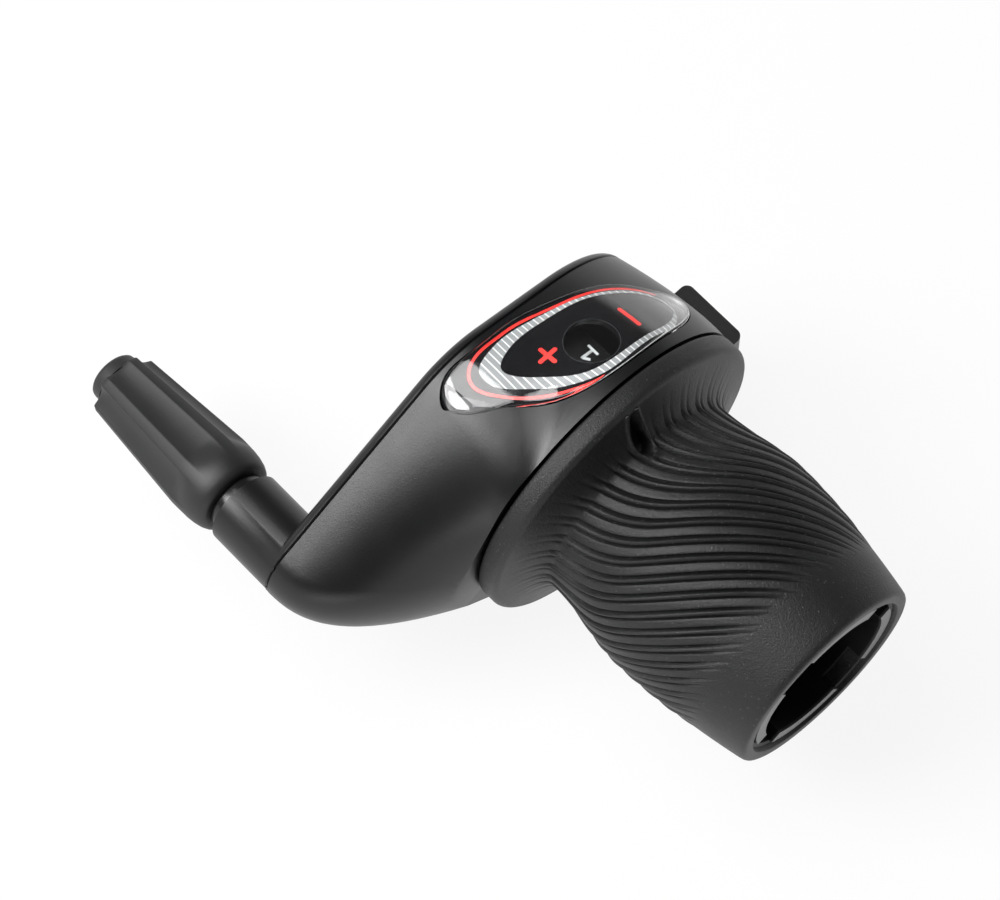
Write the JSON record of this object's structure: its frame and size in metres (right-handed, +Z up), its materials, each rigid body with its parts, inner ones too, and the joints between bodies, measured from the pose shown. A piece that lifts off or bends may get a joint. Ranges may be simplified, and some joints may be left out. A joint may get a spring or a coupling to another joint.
{
  "type": "twist-grip gear shifter",
  "caption": "Left-hand twist-grip gear shifter: ribbed rubber sleeve turning about the bar, moulded housing with a gear window, bar clamp and fluted cable adjuster.",
  "frame": {"origin": "centre of the bar clamp, on the axis of the bar and in line with the clamp screw", "axes": "+X along the bar towards its end, +Y towards the rider, +Z up"},
  "size_m": [0.1058, 0.0758, 0.0498],
  "materials": {
    "base_plastic": "satin black moulded plastic",
    "cover_plastic": "satin black moulded plastic",
    "clear_lens": "clear polished",
    "dial_gloss": "gloss black",
    "screw_steel": "plain steel",
    "spring_steel": "bright spring steel",
    "liner_plastic": "natural low-friction plastic",
    "tube_plastic": "dark grey moulded plastic",
    "grip_rubber": "matt black rubber",
    "drum_plastic": "black moulded plastic",
    "band_plastic": "black with pale numerals",
    "insert_brass": "plain brass",
    "stem_metal": "plain",
    "collar_plastic": "gloss black",
    "knob_plastic": "dark grey satin plastic"
  },
  "bodies": {
    "housing": {"base_bracket": "base_plastic", "top_cover": "cover_plastic", "window_lens": "clear_lens", "dial_plate": "dial_gloss", "clamp_screw": "screw_steel", "clamp_nut": "screw_steel", "cover_screws": "screw_steel", "index_spring": "spring_steel", "spring_pin": "spring_steel", "cable_liner": "liner_plastic", "thrust_washer": "liner_plastic", "elbow_insert": "insert_brass", "adjuster_spring": "spring_steel"},
    "grip": {"grip_tube": "tube_plastic", "grip_sleeve": "grip_rubber", "cable_drum": "drum_plastic", "number_band": "band_plastic"},
    "adjuster_slide": {"click_collar": "collar_plastic"},
    "adjuster": {"adjuster_knob": "knob_plastic", "adjuster_stem": "stem_metal"}
  },
  "joints": [
    {"name": "grip_twist", "type": "hinge", "parent": "housing", "child": "grip", "pos_m": [0, 0, 0], "axis": [-1, 0, 0], "range_deg": [0, 60], "deforming": ["index_spring"]},
    {"name": "adjuster_travel", "type": "slide", "parent": "housing", "child": "adjuster_slide", "axis": [-0.9895, 0.038, -0.1392], "range_m": [0, 0.0024], "deforming": ["adjuster_spring"]},
    {"name": "adjuster_turn", "type": "hinge", "parent": "adjuster_slide", "child": "adjuster", "pos_m": [-0.02298, -0.04101, -0.00221], "axis": [-0.9895, 0.038, -0.1392], "range_deg": [0, 1080]}
  ],
  "couplings": [
    {"joint": "adjuster_turn", "follows": "adjuster_travel", "rad_per_m": 7854}
  ]
}
